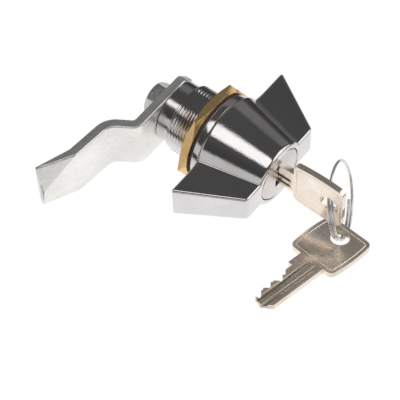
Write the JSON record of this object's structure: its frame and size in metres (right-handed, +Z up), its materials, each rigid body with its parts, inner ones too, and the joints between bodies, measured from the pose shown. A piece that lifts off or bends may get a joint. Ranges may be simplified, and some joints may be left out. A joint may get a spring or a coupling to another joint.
{
  "type": "cam lock",
  "caption": "Wing-knob cam lock with a threaded body, hexagon nut, cranked cam, wafer plug that locks the knob, and flat keys on a split ring.",
  "frame": {"origin": "on the lock's axis, in the plane where the flange meets the panel", "axes": "+Y along the lock's axis from the knob to the cam, +Z up and square to the wings, the wings along X and the cam towards -X"},
  "size_m": [0.07, 0.0849, 0.0341],
  "materials": {
    "chrome_plate": "polished chrome on cast zinc",
    "zinc_plate": "satin zinc plate on steel",
    "bright_steel": "bright plated steel",
    "nut_brass": "machined, lightly tarnished",
    "wafer_brass": "stamped",
    "black_rubber": "matt black",
    "key_nickel": "nickel plated brass, worn",
    "ring_wire": "bright drawn wire"
  },
  "bodies": {
    "housing": {"housing": "chrome_plate", "gasket": "black_rubber", "thrust_washer": "bright_steel"},
    "nut": {"hex_nut": "nut_brass"},
    "knob": {"wing_knob": "chrome_plate", "lock_barrel": "zinc_plate", "knob_screws": "bright_steel", "spindle": "zinc_plate", "spindle_seal": "black_rubber", "cam": "zinc_plate", "spring_washer": "bright_steel", "cam_screw": "bright_steel"},
    "plug": {"plug": "chrome_plate", "wafer_springs": "bright_steel", "plug_clip": "bright_steel", "plug_driver": "zinc_plate"},
    "bolt": {"locking_bolt": "zinc_plate"},
    "wafers_up": {"wafer_1": "wafer_brass", "wafer_3": "wafer_brass", "wafer_5": "wafer_brass"},
    "wafers_down": {"wafer_2": "wafer_brass", "wafer_4": "wafer_brass", "wafer_6": "wafer_brass"},
    "key": {"key": "key_nickel"},
    "ring": {"key_ring": "ring_wire"},
    "spare_key": {"spare_key": "key_nickel"}
  },
  "joints": [
    {"name": "knob_turn", "type": "hinge", "parent": "housing", "child": "knob", "pos_m": [0, 0, 0], "axis": [0, 1, 0], "range_deg": [0, 90]},
    {"name": "nut_travel", "type": "slide", "parent": "housing", "child": "nut", "axis": [0, 1, 0], "range_m": [0, 0.008]},
    {"name": "plug_turn", "type": "hinge", "parent": "knob", "child": "plug", "pos_m": [0, 0, 0], "axis": [0, 1, 0], "range_deg": [0, 90]},
    {"name": "bolt_slide", "type": "slide", "parent": "knob", "child": "bolt", "axis": [0, 0, 1], "range_m": [0, 0.002]},
    {"name": "key_draw", "type": "slide", "parent": "plug", "child": "key", "axis": [0, -1, 0], "range_m": [0, 0.03]},
    {"name": "wafers_rise", "type": "slide", "parent": "plug", "child": "wafers_up", "axis": [0, 0, 1], "range_m": [0, 0.0008]},
    {"name": "wafers_drop", "type": "slide", "parent": "plug", "child": "wafers_down", "axis": [0, 0, -1], "range_m": [0, 0.0008]},
    {"name": "ring_swing", "type": "hinge", "parent": "key", "child": "ring", "pos_m": [0, -0.0404, 0.0019], "axis": [0.6537, 0.4775, 0.587], "range_deg": [-30, 30]},
    {"name": "spare_key_swing", "type": "hinge", "parent": "ring", "child": "spare_key", "pos_m": [-0.00052, -0.04514, -0.01358], "axis": [-0.6077, -0.0556, 0.7922], "range_deg": [-30, 60]}
  ],
  "couplings": [
    {"joint": "bolt_slide", "follows": "plug_turn", "m_per_rad": 0.0012732},
    {"joint": "wafers_rise", "follows": "key_draw", "ratio": 0.026667},
    {"joint": "wafers_drop", "follows": "key_draw", "ratio": 0.026667}
  ]
}
